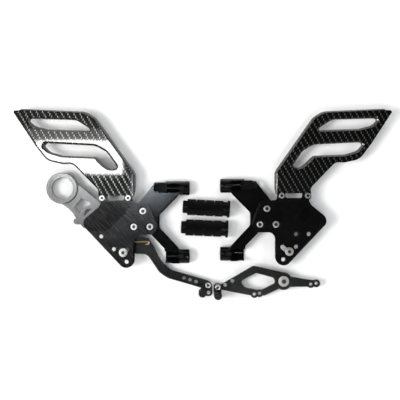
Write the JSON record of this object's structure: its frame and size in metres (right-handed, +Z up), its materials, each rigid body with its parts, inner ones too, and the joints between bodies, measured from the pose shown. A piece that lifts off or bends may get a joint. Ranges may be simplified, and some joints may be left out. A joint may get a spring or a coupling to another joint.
{
  "type": "motorcycle rear sets",
  "caption": "Motorcycle rear sets laid flat: side plates with carbon heel guards, brake lever, silencer hanger, shift lever and knurled foot pegs.",
  "frame": {"origin": "Centre of the laid-out set's bounding box, on the surface it lies on.", "axes": "+Z up, away from the surface; +Y towards the heel guards; +X from the brake side to the shift side."},
  "size_m": [0.5668, 0.2862, 0.043],
  "materials": {
    "black_anodised": "satin black anodised",
    "hanger_grey": "satin dark grey anodised",
    "peg_black": "black anodised, knurled",
    "carbon": "clear-coated woven carbon",
    "bolt_steel": "plain stainless",
    "spring_gold": "yellow zinc plated",
    "bronze": "plain bronze bush"
  },
  "bodies": {
    "set": {"brake_frame_bracket": "black_anodised", "brake_peg_plate": "black_anodised", "brake_bracket_bolts": "bolt_steel", "brake_heel_guard": "carbon", "brake_guard_bolts": "bolt_steel", "brake_stop_bolt": "bolt_steel", "brake_stop_washer": "bolt_steel", "brake_stop_sleeve": "bolt_steel", "brake_stop_nut": "bolt_steel", "silencer_hanger": "hanger_grey", "hanger_bolts": "bolt_steel", "brake_pivot_bolt": "bolt_steel", "shift_frame_bracket": "black_anodised", "shift_peg_plate": "black_anodised", "shift_bracket_bolts": "bolt_steel", "shift_heel_guard": "carbon", "shift_guard_bolts": "bolt_steel", "shift_stop_bolt": "bolt_steel", "shift_stop_washer": "bolt_steel", "shift_stop_sleeve": "bolt_steel", "shift_stop_nut": "bolt_steel", "shift_pivot_bolt": "bolt_steel", "shift_pivot_collar": "bolt_steel", "shift_pivot_nut": "bolt_steel", "footpeg_upper": "peg_black", "footpeg_lower": "peg_black", "footpeg_set_screws": "bolt_steel"},
    "brake_pedal": {"brake_lever": "black_anodised", "brake_pivot_bush": "bronze", "brake_return_spring": "spring_gold", "brake_toe_link": "black_anodised", "brake_toe_peg": "peg_black", "brake_toe_bolts": "bolt_steel"},
    "shift_pedal": {"shift_lever": "black_anodised", "shift_toe_link": "black_anodised", "shift_toe_peg": "peg_black", "shift_toe_bolts": "bolt_steel"}
  },
  "joints": [
    {"name": "brake_pedal_hinge", "type": "hinge", "parent": "set", "child": "brake_pedal", "pos_m": [-0.13299, -0.0484, 0.012], "axis": [0, 0, 1], "range_deg": [-10, 0], "stiffness_Nm_per_rad": 1.2, "springref_deg": 20.05},
    {"name": "shift_pedal_hinge", "type": "hinge", "parent": "set", "child": "shift_pedal", "pos_m": [0.12201, -0.1162, 0.013], "axis": [0, 0, 1], "range_deg": [-10, 10]}
  ]
}
